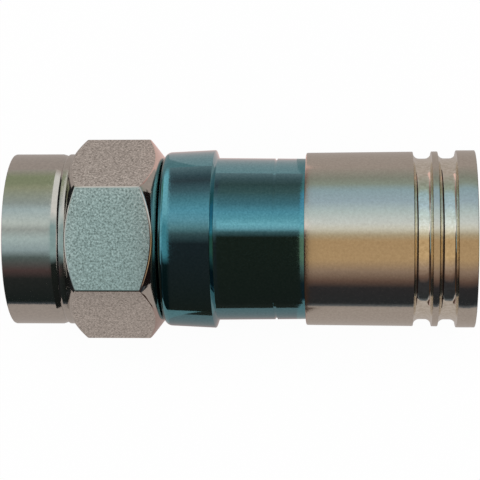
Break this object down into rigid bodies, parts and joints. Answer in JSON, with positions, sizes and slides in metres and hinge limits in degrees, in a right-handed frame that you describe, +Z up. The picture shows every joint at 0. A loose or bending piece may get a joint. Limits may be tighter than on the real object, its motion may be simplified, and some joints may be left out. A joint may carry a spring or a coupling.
{
  "type": "f connector",
  "caption": "Male F-type compression plug for coaxial cable: hexagonal coupling nut with a round skirt, dark collared body, and a grooved sleeve that slides forward to clamp the cable.",
  "frame": {"origin": "centre of the coupling nut's open end, on the plug's axis", "axes": "-X out of the coupling nut, towards the socket it screws on; +X along the cable; +Z up, out of one flat of the hexagon, with the plug lying on its side"},
  "size_m": [0.0291, 0.0128, 0.0112],
  "materials": {
    "plated_nut": "nickel-tin plated turned brass, satin",
    "plated_post": "nickel-tin plated turned brass, bright",
    "dark_body": "turned brass with a dark blue-green plating, glossy",
    "seal_rubber": "black nitrile rubber",
    "plated_sleeve": "nickel-tin plated turned brass, glossy",
    "acetal": "natural acetal"
  },
  "bodies": {
    "body": {"connector_body": "dark_body", "post": "plated_post", "nut_seal": "seal_rubber"},
    "nut": {"coupling_nut": "plated_nut"},
    "sleeve": {"compression_sleeve": "plated_sleeve", "grip_ring": "acetal"}
  },
  "joints": [
    {"name": "nut_spin", "type": "hinge", "parent": "body", "child": "nut", "pos_m": [0, 0, 0], "axis": [1, 0, 0], "continuous": true},
    {"name": "sleeve_stroke", "type": "slide", "parent": "body", "child": "sleeve", "axis": [-1, 0, 0], "range_m": [0, 0.0051]}
  ]
}
